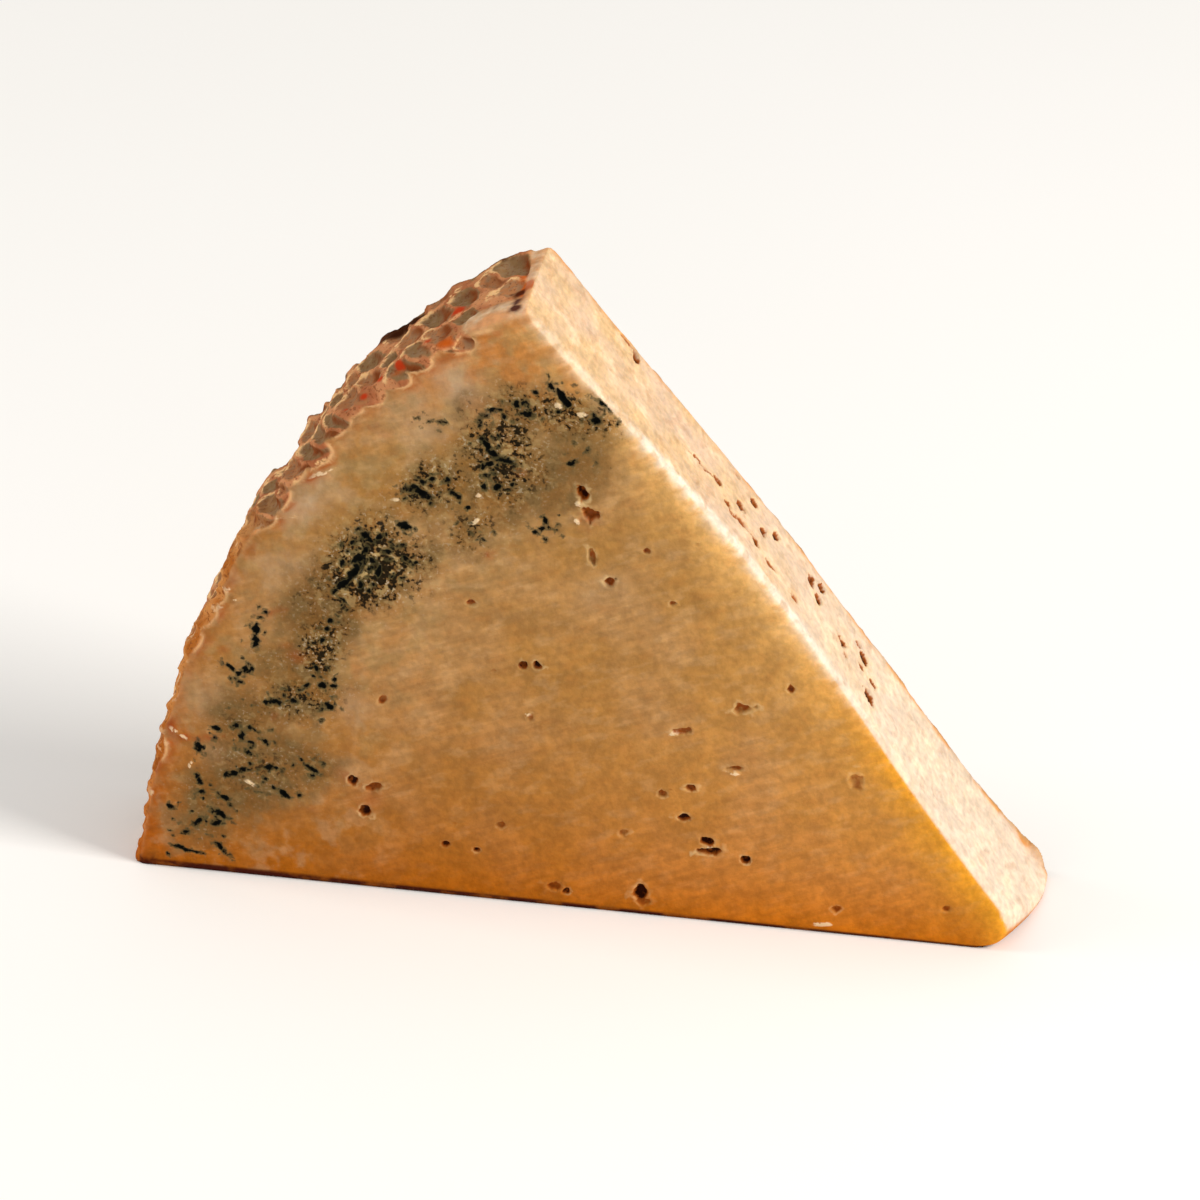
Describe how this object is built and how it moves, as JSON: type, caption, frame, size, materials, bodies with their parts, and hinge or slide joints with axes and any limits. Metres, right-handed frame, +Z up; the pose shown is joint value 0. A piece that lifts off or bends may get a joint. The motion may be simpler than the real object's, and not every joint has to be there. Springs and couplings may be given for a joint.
{
  "type": "gamonedo cheese wedge",
  "caption": "Slab-shaped wedge of ripe blue cheese with a knobbly round rind, mould near the rind and small eyes in its cut faces.",
  "frame": {"origin": "middle of the wedge's box at the base it stands on", "axes": "+Z up; +X along the base, from the round rind towards the tip at the wheel's centre; +Y from the front cut to the flat rind, along the wheel's axis"},
  "size_m": [0.1265, 0.0216, 0.0932],
  "materials": {
    "paste": "soft satin"
  },
  "bodies": {
    "root": {"cheese_wedge": "paste"}
  },
  "joints": []
}
